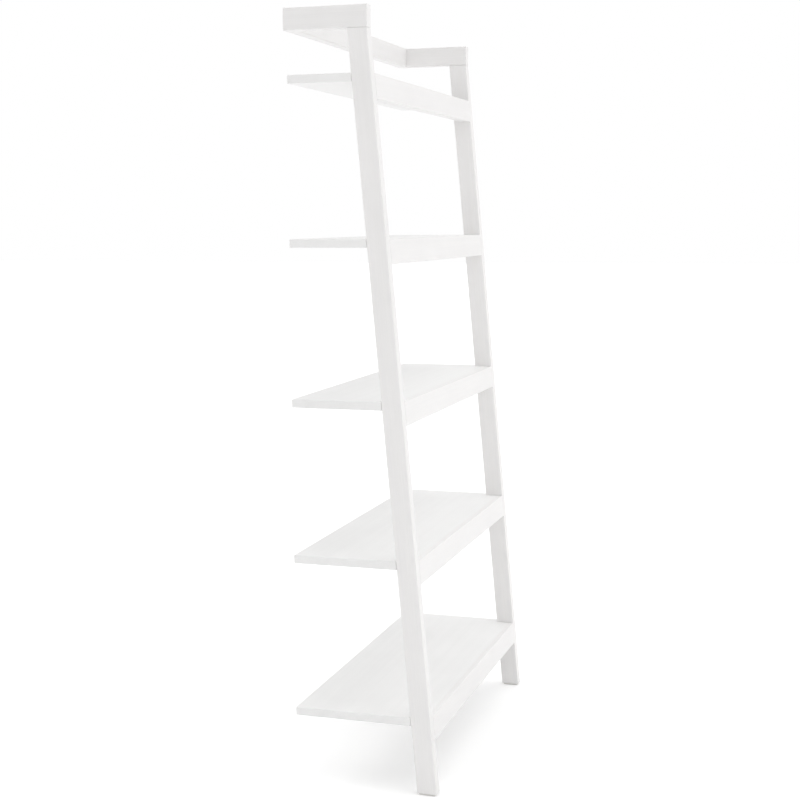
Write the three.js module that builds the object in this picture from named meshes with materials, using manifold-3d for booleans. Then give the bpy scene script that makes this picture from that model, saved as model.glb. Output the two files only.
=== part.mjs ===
// Leaning ladder shelf: two raked legs, a top frame of two arms and a back rail that
// rests against a wall, and level shelves, each carried by a rung between the legs.
// Millimetres, +X across the width, -Y to the front, +Y to the wall, +Z up.
// The origin is the centre of the floor area that the shelf covers, at floor level.

import * as THREE from 'three';
import { mergeVertices } from 'three/addons/utils/BufferGeometryUtils.js';
import Module from 'manifold-3d';

const wasm = await Module();
wasm.setup();

// ---------- Driving dimensions ----------

const OVERALL_HEIGHT = 1830;
const OVERALL_WIDTH = 890;
const OVERALL_DEPTH = 360; // front of the feet to the wall

const FRAME_THICKNESS = 28; // legs and arms, across the width
const LEG_DEPTH = 48; // front to back, measured level
const ARM_LENGTH = 202; // wall to the front end of an arm
const ARM_HEIGHT = 51;
const RAIL_THICKNESS = 28; // back rail, front to back

const SHELF_COUNT = 5;
const BOARD_THICKNESS = 20;
const BOARD_WALL_GAP = 8; // keeps the boards off the wall and its skirting
const BOTTOM_SHELF_TOP = 186;
const TOP_SHELF_DROP = 150; // from the top of the arms to the top shelf

const RUNG_HEIGHT = 58;
const RUNG_DEPTH = 28; // front to back, measured level
const REBATE_DEPTH = 16; // seat for the front edge of the board

const GLIDE_HEIGHT = 4;
const GLIDE_INSET = 3; // from the outline of the foot
const GLIDE_CORNER = 4;
const GLIDE_STEM_RADIUS = 2.5;
const GLIDE_STEM_LENGTH = 12;

// Knock-down connector: a pin screwed into one piece, caught by a cam in the other.
const CAM_RADIUS = 7.5;
const CAM_THICKNESS = 13;
const CAM_SETBACK = 24; // joint face to the middle of the cam
const CAM_RECESS = 0.5; // below the face that the cam is turned from
const PIN_FACE_DISTANCE = 9; // that face to the axis of the pin
const PIN_THREAD_RADIUS = 3;
const PIN_THREAD_LENGTH = 11;
const PIN_THREAD_TIP = 0.6;
const PIN_SHANK_RADIUS = 3;
const PIN_NECK_RADIUS = 2;
const PIN_NECK_LENGTH = 4;
const PIN_HEAD_RADIUS = 3.4;
const PIN_HEAD_LENGTH = 3;

// Screw up through the rung into the board.
const SHELF_SCREW_RADIUS = 2;
const SHELF_SCREW_LENGTH = 34; // under the head
const SHELF_SCREW_HEAD_RADIUS = 4;
const SHELF_SCREW_HEAD_HEIGHT = 2.6;
const SHELF_SCREW_BITE = 14; // length held by the board
const SHELF_SCREW_END_DISTANCE = 120; // from the end of the rung

// Steel angle that ties the back rail to the wall, let into the rail.
const BRACKET_WIDTH = 22;
const BRACKET_FLANGE = 20; // over the back rail
const BRACKET_DROP = 38; // down the wall
const BRACKET_SINK = 3; // top of the rail to the top of the flange
const BRACKET_SEAT_GAP = 0.5; // between the bracket and its seat in the rail
const BRACKET_PLATE = 2;
const BRACKET_BEND = 3; // outside radius of the bend
const BRACKET_HOLE_RADIUS = 2.6;
const BRACKET_END_DISTANCE = 90; // from the end of the back rail
const BRACKET_SCREW_RADIUS = 2;
const BRACKET_SCREW_LENGTH = 18;
const BRACKET_SCREW_HEAD_RADIUS = 4;
const BRACKET_SCREW_HEAD_HEIGHT = 2.4;
const WALL_SCREW_HEAD_RADIUS = 5.5; // room in the rail for the head
const WALL_SCREW_HEAD_HEIGHT = 3.5;

const JOINT_GAP = 0.3; // between faces that touch
const HOLE_GAP = 0.3; // around anything that sits in a hole
const ROUND_SEGMENTS = 16;
const TURNED_SEGMENTS = 10; // pins and screws

// ---------- Derived places ----------

const WALL_Y = OVERALL_DEPTH / 2;
const ARM_UNDERSIDE = OVERALL_HEIGHT - ARM_HEIGHT;
const LEG_TOP = ARM_UNDERSIDE - JOINT_GAP;
const LEG_BOTTOM = GLIDE_HEIGHT + JOINT_GAP;
const FOOT_FRONT_Y = -OVERALL_DEPTH / 2;
const ARM_FRONT_Y = WALL_Y - ARM_LENGTH;
const RAKE_SLOPE = (ARM_FRONT_Y - FOOT_FRONT_Y) / (LEG_TOP - LEG_BOTTOM);
const RAKE_ANGLE = Math.atan(RAKE_SLOPE);
const LEG_X = (OVERALL_WIDTH - FRAME_THICKNESS) / 2;
const INNER_HALF_WIDTH = OVERALL_WIDTH / 2 - FRAME_THICKNESS - JOINT_GAP;
const SHELF_SPACING =
  (OVERALL_HEIGHT - TOP_SHELF_DROP - BOTTOM_SHELF_TOP) / (SHELF_COUNT - 1);
const PIN_TIP = CAM_SETBACK + PIN_HEAD_LENGTH / 2;
const PIN_HOLE_RADIUS = PIN_HEAD_RADIUS + HOLE_GAP;
const THREAD_HOLE_RADIUS = PIN_THREAD_RADIUS + HOLE_GAP;

const AXIS_X = new THREE.Vector3(1, 0, 0);
const AXIS_Y = new THREE.Vector3(0, 1, 0);
const AXIS_Z = new THREE.Vector3(0, 0, 1);
const DOWN = new THREE.Vector3(0, 0, -1);

// Along the rake: up a leg, and level with its faces squarely into its back.
const UP_RAKE = AXIS_Z.clone().applyAxisAngle(AXIS_X, -RAKE_ANGLE);
const INTO_RAKE = AXIS_Y.clone().applyAxisAngle(AXIS_X, -RAKE_ANGLE);

function legFrontY(z) {
  return FOOT_FRONT_Y + (z - LEG_BOTTOM) * RAKE_SLOPE;
}

function shelfTop(index) {
  return OVERALL_HEIGHT - TOP_SHELF_DROP - index * SHELF_SPACING;
}

// ---------- Shape helpers ----------

function point(x, y, z) {
  return new THREE.Vector3(x, y, z);
}

function shapeOf(outline) {
  return new THREE.Shape(outline.map(([u, v]) => new THREE.Vector2(u, v)));
}

function box(width, depth, height, centre = point(0, 0, 0)) {
  const geometry = new THREE.BoxGeometry(width, depth, height);
  geometry.translate(centre.x, centre.y, centre.z);
  return geometry;
}

// A shape drawn in the side view (y, z), extruded across the width about x = 0.
function sidePrism(shape, width, curveSegments = 6) {
  const options = { depth: width, bevelEnabled: false, curveSegments };
  const geometry = new THREE.ExtrudeGeometry(shape, options);
  geometry.translate(0, 0, -width / 2);
  const turn = new THREE.Matrix4().makeBasis(AXIS_Y, AXIS_Z, AXIS_X);
  return geometry.applyMatrix4(turn);
}

// A shape drawn in the plan view (x, y), extruded down from z = 0.
function planSlab(shape, thickness, curveSegments = 6) {
  const options = { depth: thickness, bevelEnabled: false, curveSegments };
  const geometry = new THREE.ExtrudeGeometry(shape, options);
  return geometry.translate(0, 0, -thickness);
}

// A round bar from one point, along a direction.
function bar(radius, length, start, direction) {
  const geometry = new THREE.CylinderGeometry(radius, radius, length, ROUND_SEGMENTS);
  geometry.translate(0, length / 2, 0);
  const turn = new THREE.Quaternion().setFromUnitVectors(AXIS_Y, direction);
  geometry.applyQuaternion(turn);
  return geometry.translate(start.x, start.y, start.z);
}

// A turned piece, drawn as [radius, height] from its lowest point on the axis.
function turned(profile) {
  const points = profile.map(([radius, height]) => new THREE.Vector2(radius, height));
  const geometry = new THREE.LatheGeometry(points, TURNED_SEGMENTS);
  return geometry.rotateX(Math.PI / 2);
}

function toSolid(geometry) {
  const bare = geometry.clone();
  bare.deleteAttribute('normal');
  bare.deleteAttribute('uv');
  const merged = mergeVertices(bare, 1e-4);
  const mesh = new wasm.Mesh({
    numProp: 3,
    vertProperties: new Float32Array(merged.attributes.position.array),
    triVerts: new Uint32Array(merged.index.array),
  });
  return new wasm.Manifold(mesh);
}

function toGeometry(solid) {
  const mesh = solid.getMesh();
  const geometry = new THREE.BufferGeometry();
  geometry.setAttribute('position', new THREE.BufferAttribute(mesh.vertProperties, 3));
  geometry.setIndex(new THREE.BufferAttribute(mesh.triVerts, 1));
  geometry.computeVertexNormals();
  return geometry;
}

function cut(geometry, tools) {
  const solid = tools.reduce((body, tool) => body.subtract(toSolid(tool)), toSolid(geometry));
  return toGeometry(solid);
}

function joined(first, second) {
  return toGeometry(toSolid(first).add(toSolid(second)));
}

// ---------- Finishes ----------

function finish(color, roughness, metalness) {
  return { color, roughness, metalness };
}

const FINISHES = {
  paintedWood: finish(0xf3f2ee, 0.42, 0),
  paintedBoard: finish(0xf5f4f1, 0.4, 0),
  castZinc: finish(0x9a9c9e, 0.45, 0.9),
  platedSteel: finish(0xb9bbbc, 0.32, 1),
  paintedSteel: finish(0xeeeeec, 0.38, 0.1),
  glidePlastic: finish(0xe4e2dc, 0.6, 0),
};

function addPiece(parent, name, geometry, finishName, position = point(0, 0, 0)) {
  const material = new THREE.MeshStandardMaterial(FINISHES[finishName]);
  const mesh = new THREE.Mesh(geometry, material);
  mesh.name = name;
  mesh.position.copy(position);
  parent.add(mesh);
  return mesh;
}

const SIDES = [
  { side: 'left', sign: -1 },
  { side: 'right', sign: 1 },
];

// ---------- Knock-down connector ----------

// Pin: the joint face is z = 0, the thread runs down and the head is up.
function pinGeometry() {
  const neckStart = PIN_TIP - PIN_HEAD_LENGTH - PIN_NECK_LENGTH;
  return turned([
    [0, -PIN_THREAD_LENGTH],
    [PIN_THREAD_RADIUS - PIN_THREAD_TIP, -PIN_THREAD_LENGTH],
    [PIN_THREAD_RADIUS, PIN_THREAD_TIP - PIN_THREAD_LENGTH],
    [PIN_SHANK_RADIUS, neckStart],
    [PIN_NECK_RADIUS, neckStart],
    [PIN_NECK_RADIUS, PIN_TIP - PIN_HEAD_LENGTH],
    [PIN_HEAD_RADIUS, PIN_TIP - PIN_HEAD_LENGTH],
    [PIN_HEAD_RADIUS, PIN_TIP],
    [0, PIN_TIP],
  ]);
}

// Cam: its turning face is z = 0, and the pin enters along -x at the depth of its axis.
function camGeometry() {
  const disc = bar(CAM_RADIUS, CAM_THICKNESS, point(0, 0, -CAM_THICKNESS), AXIS_Z);
  const mouthLength = CAM_RADIUS + PIN_HEAD_LENGTH / 2 + 2 * HOLE_GAP;
  const mouthStart = point(PIN_HEAD_LENGTH / 2 + HOLE_GAP, 0, CAM_RECESS - PIN_FACE_DISTANCE);
  const mouth = bar(PIN_HOLE_RADIUS, mouthLength, mouthStart, AXIS_X.clone().negate());
  return cut(disc, [mouth]);
}

// The cuts that a cam and its pin need in the piece that holds the cam.
// joint is on the pin's axis in the joint face, inward runs along the pin,
// and outward points out of the face that the cam is turned from.
function camCuts(joint, inward, outward) {
  const middle = joint.clone().addScaledVector(inward, CAM_SETBACK);
  const depth = PIN_FACE_DISTANCE + 2;
  const pocketFloor = CAM_THICKNESS + CAM_RECESS + HOLE_GAP - PIN_FACE_DISTANCE;
  const pocketStart = middle.clone().addScaledVector(outward, -pocketFloor);
  const pocket = bar(CAM_RADIUS + HOLE_GAP, pocketFloor + depth, pocketStart, outward);
  const mouth = joint.clone().addScaledVector(inward, -1);
  const pinHole = bar(PIN_HOLE_RADIUS, PIN_TIP + 1 + HOLE_GAP, mouth, inward);
  return [pocket, pinHole];
}

// The blind hole for the thread, in the piece that holds the pin.
function threadCut(joint, intoPiece) {
  const mouth = joint.clone().addScaledVector(intoPiece, -1);
  return bar(THREAD_HOLE_RADIUS, PIN_THREAD_LENGTH + 1 + HOLE_GAP, mouth, intoPiece);
}

// A pin and its cam, placed in a joint.
function addConnector(parent, name, joint, inward, outward) {
  const sideways = new THREE.Vector3().crossVectors(outward, inward);
  const pin = addPiece(parent, `cam_pin_${name}`, pinGeometry(), 'platedSteel', joint);
  pin.quaternion.setFromUnitVectors(AXIS_Z, inward);
  const face = joint.clone()
    .addScaledVector(inward, CAM_SETBACK)
    .addScaledVector(outward, PIN_FACE_DISTANCE - CAM_RECESS);
  const cam = addPiece(parent, `cam_${name}`, camGeometry(), 'castZinc', face);
  const turn = new THREE.Matrix4().makeBasis(inward, sideways, outward);
  cam.quaternion.setFromRotationMatrix(turn);
}

// ---------- Places of the joints ----------

// Rung to leg: the pin stands in the leg's inner face, behind the rung's face
// and midway up the part of the rung below the board.
function rungJoint(index, sign) {
  const below = BOARD_THICKNESS + JOINT_GAP + (RUNG_HEIGHT - BOARD_THICKNESS - JOINT_GAP) / 2;
  const z = shelfTop(index) - below;
  const backY = legFrontY(z) + RUNG_DEPTH;
  return point(sign * INNER_HALF_WIDTH, backY, z)
    .addScaledVector(INTO_RAKE, -PIN_FACE_DISTANCE);
}

// Leg to arm: the pin hangs from the arm into the top of the leg. The cam is turned
// from the back of the leg, square to the pin, so that it is sunk enough for the rake.
function armJoint(sign) {
  const backY = legFrontY(LEG_TOP - CAM_SETBACK) + LEG_DEPTH;
  const sunk = CAM_RADIUS * Math.sin(RAKE_ANGLE);
  return point(sign * LEG_X, backY - PIN_FACE_DISTANCE - sunk, LEG_TOP);
}

// Arm to back rail: the pin stands in the arm's inner face.
function railJoint(sign) {
  const z = OVERALL_HEIGHT - ARM_HEIGHT / 2;
  return point(sign * INNER_HALF_WIDTH, WALL_Y - PIN_FACE_DISTANCE, z);
}

function shelfScrewX(sign) {
  return sign * (INNER_HALF_WIDTH - SHELF_SCREW_END_DISTANCE);
}

// Under the head of a shelf screw, on the axis that follows the rake.
function shelfScrewSeat(index) {
  const undersideZ = shelfTop(index) - BOARD_THICKNESS;
  const y = legFrontY(undersideZ) + RUNG_DEPTH - REBATE_DEPTH / 2;
  return point(0, y, undersideZ)
    .addScaledVector(UP_RAKE, SHELF_SCREW_BITE - SHELF_SCREW_LENGTH);
}

// ---------- Pieces ----------

// Leg: a raked stick, cut level under the arm and level at the foot.
function legGeometry(sign) {
  const height = LEG_TOP - LEG_BOTTOM;
  const lean = height * RAKE_SLOPE;
  const outline = [
    [0, 0],
    [LEG_DEPTH, 0],
    [LEG_DEPTH + lean, height],
    [lean, height],
  ];
  const stick = sidePrism(shapeOf(outline), FRAME_THICKNESS);
  const origin = point(sign * LEG_X, FOOT_FRONT_Y, LEG_BOTTOM);
  const outward = point(sign, 0, 0);
  const innerFaceX = -sign * FRAME_THICKNESS / 2;
  const cuts = [];
  for (let index = 0; index < SHELF_COUNT; index += 1) {
    const joint = rungJoint(index, sign).sub(origin);
    joint.x = innerFaceX;
    cuts.push(threadCut(joint, outward));
  }
  cuts.push(...camCuts(armJoint(sign).sub(origin), DOWN, AXIS_Y));
  const stemHole = GLIDE_STEM_LENGTH + HOLE_GAP;
  cuts.push(bar(GLIDE_STEM_RADIUS + HOLE_GAP, stemHole + 1, point(0, LEG_DEPTH / 2, -1), AXIS_Z));
  return cut(stick, cuts);
}

// Arm: level, from the wall to the front of the leg that it sits on.
function armGeometry(sign) {
  const beam = box(FRAME_THICKNESS, ARM_LENGTH, ARM_HEIGHT);
  const centre = armCentre(sign);
  const legPin = armJoint(sign).sub(centre);
  legPin.z = -ARM_HEIGHT / 2;
  const railPin = railJoint(sign).sub(centre);
  railPin.x = -sign * FRAME_THICKNESS / 2;
  return cut(beam, [threadCut(legPin, AXIS_Z), threadCut(railPin, point(sign, 0, 0))]);
}

function armCentre(sign) {
  return point(sign * LEG_X, WALL_Y - ARM_LENGTH / 2, OVERALL_HEIGHT - ARM_HEIGHT / 2);
}

// Back rail: closes the top frame between the arms, flush with their wall ends.
function backRailGeometry() {
  const beam = box(2 * INNER_HALF_WIDTH, RAIL_THICKNESS, ARM_HEIGHT);
  const cuts = [];
  for (const { sign } of SIDES) {
    const joint = railJoint(sign).sub(backRailCentre());
    cuts.push(...camCuts(joint, point(-sign, 0, 0), AXIS_Y));
    const corner = bracketCorner(sign).sub(backRailCentre());
    cuts.push(...bracketCuts(corner));
  }
  return cut(beam, cuts);
}

// The seat for a bracket over the top and down the wall side of the rail, with the
// hole for its screw and room for the head of the wall screw.
function bracketCuts(corner) {
  const width = BRACKET_WIDTH + 2 * BRACKET_SEAT_GAP;
  const plate = BRACKET_PLATE + BRACKET_SEAT_GAP;
  const flange = BRACKET_FLANGE + BRACKET_SEAT_GAP;
  const drop = BRACKET_DROP + BRACKET_SEAT_GAP;
  const above = BRACKET_SINK + 1;
  const overTop = box(width, flange + 1, plate + above, corner.clone()
    .add(point(0, (1 - flange) / 2, (above - plate) / 2)));
  const downWall = box(width, plate + 1, drop + above, corner.clone()
    .add(point(0, (1 - plate) / 2, (above - drop) / 2)));
  const screwDepth = BRACKET_SCREW_LENGTH + HOLE_GAP;
  const screwMouth = corner.clone().add(point(0, bracketScrewY(), 0));
  const screwHole = bar(BRACKET_SCREW_RADIUS + HOLE_GAP, screwDepth, screwMouth, DOWN);
  const headFloor = corner.clone().add(point(0, -plate - WALL_SCREW_HEAD_HEIGHT, wallHoleZ()));
  const headRoom = bar(WALL_SCREW_HEAD_RADIUS, plate + WALL_SCREW_HEAD_HEIGHT, headFloor, AXIS_Y);
  return [overTop, downWall, screwHole, headRoom];
}

function backRailCentre() {
  return point(0, WALL_Y - RAIL_THICKNESS / 2, OVERALL_HEIGHT - ARM_HEIGHT / 2);
}

// Rung: its front and back follow the rake, its top and bottom are level, and a
// rebate along the back of its top edge seats the board.
function rungGeometry(index) {
  const lean = RUNG_HEIGHT * RAKE_SLOPE;
  const seatZ = -BOARD_THICKNESS - JOINT_GAP;
  const outline = [
    [0, 0],
    [-lean, -RUNG_HEIGHT],
    [RUNG_DEPTH - lean, -RUNG_HEIGHT],
    [RUNG_DEPTH + seatZ * RAKE_SLOPE, seatZ],
    [RUNG_DEPTH - REBATE_DEPTH, seatZ],
    [RUNG_DEPTH - REBATE_DEPTH, 0],
  ];
  const stick = sidePrism(shapeOf(outline), 2 * INNER_HALF_WIDTH);
  const origin = rungOrigin(index);
  const cuts = [];
  for (const { sign } of SIDES) {
    const joint = rungJoint(index, sign).sub(origin);
    cuts.push(...camCuts(joint, point(-sign, 0, 0), INTO_RAKE));
    const seat = shelfScrewSeat(index).sub(origin);
    seat.x = shelfScrewX(sign);
    cuts.push(bar(SHELF_SCREW_RADIUS + HOLE_GAP, SHELF_SCREW_LENGTH, seat, UP_RAKE));
    const down = UP_RAKE.clone().negate();
    const headHole = SHELF_SCREW_HEAD_RADIUS + HOLE_GAP;
    cuts.push(bar(headHole, RUNG_HEIGHT, seat, down));
  }
  return cut(stick, cuts);
}

function rungOrigin(index) {
  const top = shelfTop(index);
  return point(0, legFrontY(top), top);
}

// Board: the full width behind the legs, notched round them to reach the rung.
function boardGeometry(index) {
  const frontY = legFrontY(shelfTop(index));
  const tongueY = RUNG_DEPTH - REBATE_DEPTH + JOINT_GAP;
  const backY = WALL_Y - BOARD_WALL_GAP - frontY;
  const half = OVERALL_WIDTH / 2;
  const outline = [
    [-half, tongueY],
    [half, tongueY],
    [half, backY],
    [-half, backY],
  ];
  const slab = planSlab(shapeOf(outline), BOARD_THICKNESS);
  const cuts = [];
  for (const { sign } of SIDES) {
    cuts.push(notchCut(sign));
    const seat = shelfScrewSeat(index).sub(rungOrigin(index));
    seat.x = shelfScrewX(sign);
    const length = SHELF_SCREW_LENGTH + HOLE_GAP;
    cuts.push(bar(SHELF_SCREW_RADIUS + HOLE_GAP, length, seat, UP_RAKE));
  }
  return cut(slab, cuts);
}

// Room for a leg in the corner of a board: its back follows the rake of the leg.
function notchCut(sign) {
  const spare = 1;
  const backAt = (z) => LEG_DEPTH + JOINT_GAP + z * RAKE_SLOPE;
  const bottom = -BOARD_THICKNESS - spare;
  const outline = [
    [0, spare],
    [0, bottom],
    [backAt(bottom), bottom],
    [backAt(spare), spare],
  ];
  const width = OVERALL_WIDTH / 2 - INNER_HALF_WIDTH + spare;
  const notch = sidePrism(shapeOf(outline), width);
  return notch.translate(sign * (INNER_HALF_WIDTH + width / 2), 0, 0);
}

// Screw with a flat round head: the seat of the head is z = 0, the point is up.
function screwGeometry(radius, length, headRadius, headHeight) {
  return turned([
    [0, -headHeight],
    [headRadius * 0.7, -headHeight],
    [headRadius, -headHeight * 0.5],
    [headRadius, 0],
    [radius, 0],
    [radius, length - 2 * radius],
    [0, length],
  ]);
}

// Glide: a plastic pad with a stem that is pushed up into the foot.
function glideGeometry() {
  const halfX = FRAME_THICKNESS / 2 - GLIDE_INSET;
  const halfY = LEG_DEPTH / 2 - GLIDE_INSET;
  const outline = new THREE.Shape();
  outline.moveTo(-halfX + GLIDE_CORNER, -halfY);
  outline.lineTo(halfX - GLIDE_CORNER, -halfY);
  outline.absarc(halfX - GLIDE_CORNER, -halfY + GLIDE_CORNER, GLIDE_CORNER, -Math.PI / 2, 0);
  outline.absarc(halfX - GLIDE_CORNER, halfY - GLIDE_CORNER, GLIDE_CORNER, 0, Math.PI / 2);
  outline.absarc(-halfX + GLIDE_CORNER, halfY - GLIDE_CORNER, GLIDE_CORNER, Math.PI / 2, Math.PI);
  outline.absarc(-halfX + GLIDE_CORNER, -halfY + GLIDE_CORNER, GLIDE_CORNER, Math.PI, 1.5 * Math.PI);
  const pad = planSlab(outline, GLIDE_HEIGHT);
  const stem = bar(GLIDE_STEM_RADIUS, GLIDE_STEM_LENGTH + 1, point(0, 0, -1), AXIS_Z);
  return joined(pad, stem);
}

// The corner of a bracket: on the wall, and at the top of its flange.
function bracketCorner(sign) {
  const x = sign * (INNER_HALF_WIDTH - BRACKET_END_DISTANCE);
  return point(x, WALL_Y, OVERALL_HEIGHT - BRACKET_SINK);
}

// The rail screw and the wall hole, measured from the corner of the bracket.
function bracketScrewY() {
  return -(BRACKET_FLANGE + BRACKET_PLATE) / 2;
}

function wallHoleZ() {
  return -(BRACKET_DROP + BRACKET_BEND) / 2;
}

// Bracket: a bent steel angle, one flange over the back rail and one down the wall.
// Its corner is the local origin.
function bracketGeometry() {
  const bendInside = BRACKET_BEND - BRACKET_PLATE;
  const outline = new THREE.Shape();
  outline.moveTo(-BRACKET_FLANGE, 0);
  outline.lineTo(-BRACKET_FLANGE, -BRACKET_PLATE);
  outline.lineTo(-BRACKET_BEND, -BRACKET_PLATE);
  outline.absarc(-BRACKET_BEND, -BRACKET_BEND, bendInside, Math.PI / 2, 0, true);
  outline.lineTo(-BRACKET_PLATE, -BRACKET_DROP);
  outline.lineTo(0, -BRACKET_DROP);
  outline.lineTo(0, -BRACKET_BEND);
  outline.absarc(-BRACKET_BEND, -BRACKET_BEND, BRACKET_BEND, 0, Math.PI / 2);
  const angle = sidePrism(outline, BRACKET_WIDTH);
  const through = BRACKET_PLATE + 2;
  const below = -BRACKET_PLATE - 1;
  const railHole = bar(BRACKET_HOLE_RADIUS, through, point(0, bracketScrewY(), below), AXIS_Z);
  const wallHole = bar(BRACKET_HOLE_RADIUS, through, point(0, below, wallHoleZ()), AXIS_Y);
  return cut(angle, [railHole, wallHole]);
}

// ---------- Assembly ----------

const ladderShelf = new THREE.Group();
const sideFrames = new THREE.Group();
const topFrame = new THREE.Group();
const levels = new THREE.Group();
const wallTies = new THREE.Group();
ladderShelf.add(sideFrames, topFrame, levels, wallTies);

for (const { side, sign } of SIDES) {
  const footPlace = point(sign * LEG_X, FOOT_FRONT_Y, LEG_BOTTOM);
  addPiece(sideFrames, `leg_${side}`, legGeometry(sign), 'paintedWood', footPlace);
  const glidePlace = point(sign * LEG_X, FOOT_FRONT_Y + LEG_DEPTH / 2, GLIDE_HEIGHT);
  addPiece(sideFrames, `foot_glide_${side}`, glideGeometry(), 'glidePlastic', glidePlace);

  addPiece(topFrame, `arm_${side}`, armGeometry(sign), 'paintedWood', armCentre(sign));
  addConnector(topFrame, `arm_${side}`, armJoint(sign), DOWN, AXIS_Y);
  addConnector(topFrame, `rail_${side}`, railJoint(sign), point(-sign, 0, 0), AXIS_Y);

  const corner = bracketCorner(sign);
  addPiece(wallTies, `wall_bracket_${side}`, bracketGeometry(), 'paintedSteel', corner);
  const bracketScrew = screwGeometry(
    BRACKET_SCREW_RADIUS,
    BRACKET_SCREW_LENGTH,
    BRACKET_SCREW_HEAD_RADIUS,
    BRACKET_SCREW_HEAD_HEIGHT,
  );
  const screwPlace = corner.clone().add(point(0, bracketScrewY(), JOINT_GAP));
  const screw = addPiece(wallTies, `bracket_screw_${side}`, bracketScrew, 'platedSteel', screwPlace);
  screw.rotation.x = Math.PI;
}
addPiece(topFrame, 'back_rail', backRailGeometry(), 'paintedWood', backRailCentre());

for (let index = 0; index < SHELF_COUNT; index += 1) {
  const level = index + 1;
  const origin = rungOrigin(index);
  addPiece(levels, `rung_${level}`, rungGeometry(index), 'paintedWood', origin);
  addPiece(levels, `shelf_${level}`, boardGeometry(index), 'paintedBoard', origin);
  for (const { side, sign } of SIDES) {
    const name = `rung_${level}_${side}`;
    addConnector(levels, name, rungJoint(index, sign), point(-sign, 0, 0), INTO_RAKE);
    const seat = shelfScrewSeat(index);
    seat.x = shelfScrewX(sign);
    seat.addScaledVector(UP_RAKE, -JOINT_GAP);
    const shelfScrew = screwGeometry(
      SHELF_SCREW_RADIUS,
      SHELF_SCREW_LENGTH,
      SHELF_SCREW_HEAD_RADIUS,
      SHELF_SCREW_HEAD_HEIGHT,
    );
    const screw = addPiece(levels, `shelf_screw_${level}_${side}`, shelfScrew, 'platedSteel', seat);
    screw.quaternion.setFromUnitVectors(AXIS_Z, UP_RAKE);
  }
}

export default ladderShelf;
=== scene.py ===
# %% [markdown]
# # A leaning ladder shelf, painted white
#
# Two raked legs stand on the floor. A top frame of two arms and a back rail reaches
# back to the wall, and five boards sit on rungs between the legs. Every piece is
# sawn from square stock, so the lesson is about square things done well: eased
# edges, tight joints, paint that isn't a flat colour, and quiet light.
#
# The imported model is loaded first. It gives the place and size of every piece, and
# each new piece is built where its box says.

import math

import bmesh
import bpy
from mathutils import Matrix, Vector


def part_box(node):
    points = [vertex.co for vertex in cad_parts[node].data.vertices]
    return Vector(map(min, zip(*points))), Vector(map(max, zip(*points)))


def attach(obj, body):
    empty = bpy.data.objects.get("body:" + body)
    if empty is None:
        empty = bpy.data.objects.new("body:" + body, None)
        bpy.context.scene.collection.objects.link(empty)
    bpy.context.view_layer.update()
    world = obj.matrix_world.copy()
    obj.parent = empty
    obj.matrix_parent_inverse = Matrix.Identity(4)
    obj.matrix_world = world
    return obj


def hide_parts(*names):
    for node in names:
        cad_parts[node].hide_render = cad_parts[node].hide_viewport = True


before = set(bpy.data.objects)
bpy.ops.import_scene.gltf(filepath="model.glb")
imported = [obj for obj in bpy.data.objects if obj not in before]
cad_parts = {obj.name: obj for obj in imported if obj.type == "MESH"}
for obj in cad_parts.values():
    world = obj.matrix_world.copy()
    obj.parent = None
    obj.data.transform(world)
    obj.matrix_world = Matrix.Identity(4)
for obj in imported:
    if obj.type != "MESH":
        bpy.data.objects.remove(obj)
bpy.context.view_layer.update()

# %% [markdown]
# ## Measures
#
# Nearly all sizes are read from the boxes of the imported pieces. The legs lean, so
# their boxes hold both their depth and their lean: the lean comes from comparing the
# foot with the front end of the arm above it. What a box can't say, such as the radius
# of an eased edge, is a named value in metres.

# %% Measures shared by the pieces
MM = 0.001
SIDES = (("left", -1), ("right", 1))
LEVELS = range(1, 6)

LEG_DEPTH = 48 * MM
RUNG_DEPTH = 28 * MM
REBATE_DEPTH = 16 * MM
JOINT_GAP = 0.3 * MM
CAM_RADIUS = 7.5 * MM
CAM_DEPTH = 13 * MM
PIN_THREAD = 11 * MM  # the end of a pin that is in the other piece
SHELF_SCREW_LENGTH = 34 * MM
SHELF_SCREW_BITE = 14 * MM  # how much of it the board holds
SHELF_SCREW_HEAD = 2.6 * MM  # how tall its head is
BRACKET_SCREW_HEAD = 2.4 * MM

leg_low, leg_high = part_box("leg_left")
RAKE = (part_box("arm_left")[0].y - leg_low.y) / (leg_high.z - leg_low.z)
RAKE_ANGLE = math.atan(RAKE)
INNER_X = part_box("rung_1")[1].x
UP_RAKE = Vector((0, math.sin(RAKE_ANGLE), math.cos(RAKE_ANGLE)))
INTO_RAKE = Vector((0, math.cos(RAKE_ANGLE), -math.sin(RAKE_ANGLE)))


def leg_front(z):
    """Where the front face of the legs is, at a height."""
    return leg_low.y + (z - leg_low.z) * RAKE


print(f"rake {math.degrees(RAKE_ANGLE):.2f} degrees, {2 * INNER_X:.3f} m between the legs")

# %% [markdown]
# ## Camera
#
# The camera stands off the left end at chest height, turned a little towards the
# wall, so that it looks along the boards and shows the legs' sides. A long lens keeps
# the tall legs nearly parallel. The turn is built from three plain directions (right,
# up and back) because a matrix of directions says exactly where the camera looks.

# %% Camera
CAMERA_PLACE = Vector((-3.600, -1.088, 1.350))
CAMERA_TURN = math.radians(17.47)  # from the line along the boards, towards the wall
CAMERA_TILT = math.radians(7.07)  # downwards
CAMERA_ROLL = math.radians(-0.32)
CAMERA_LENS = 65.4


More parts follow.
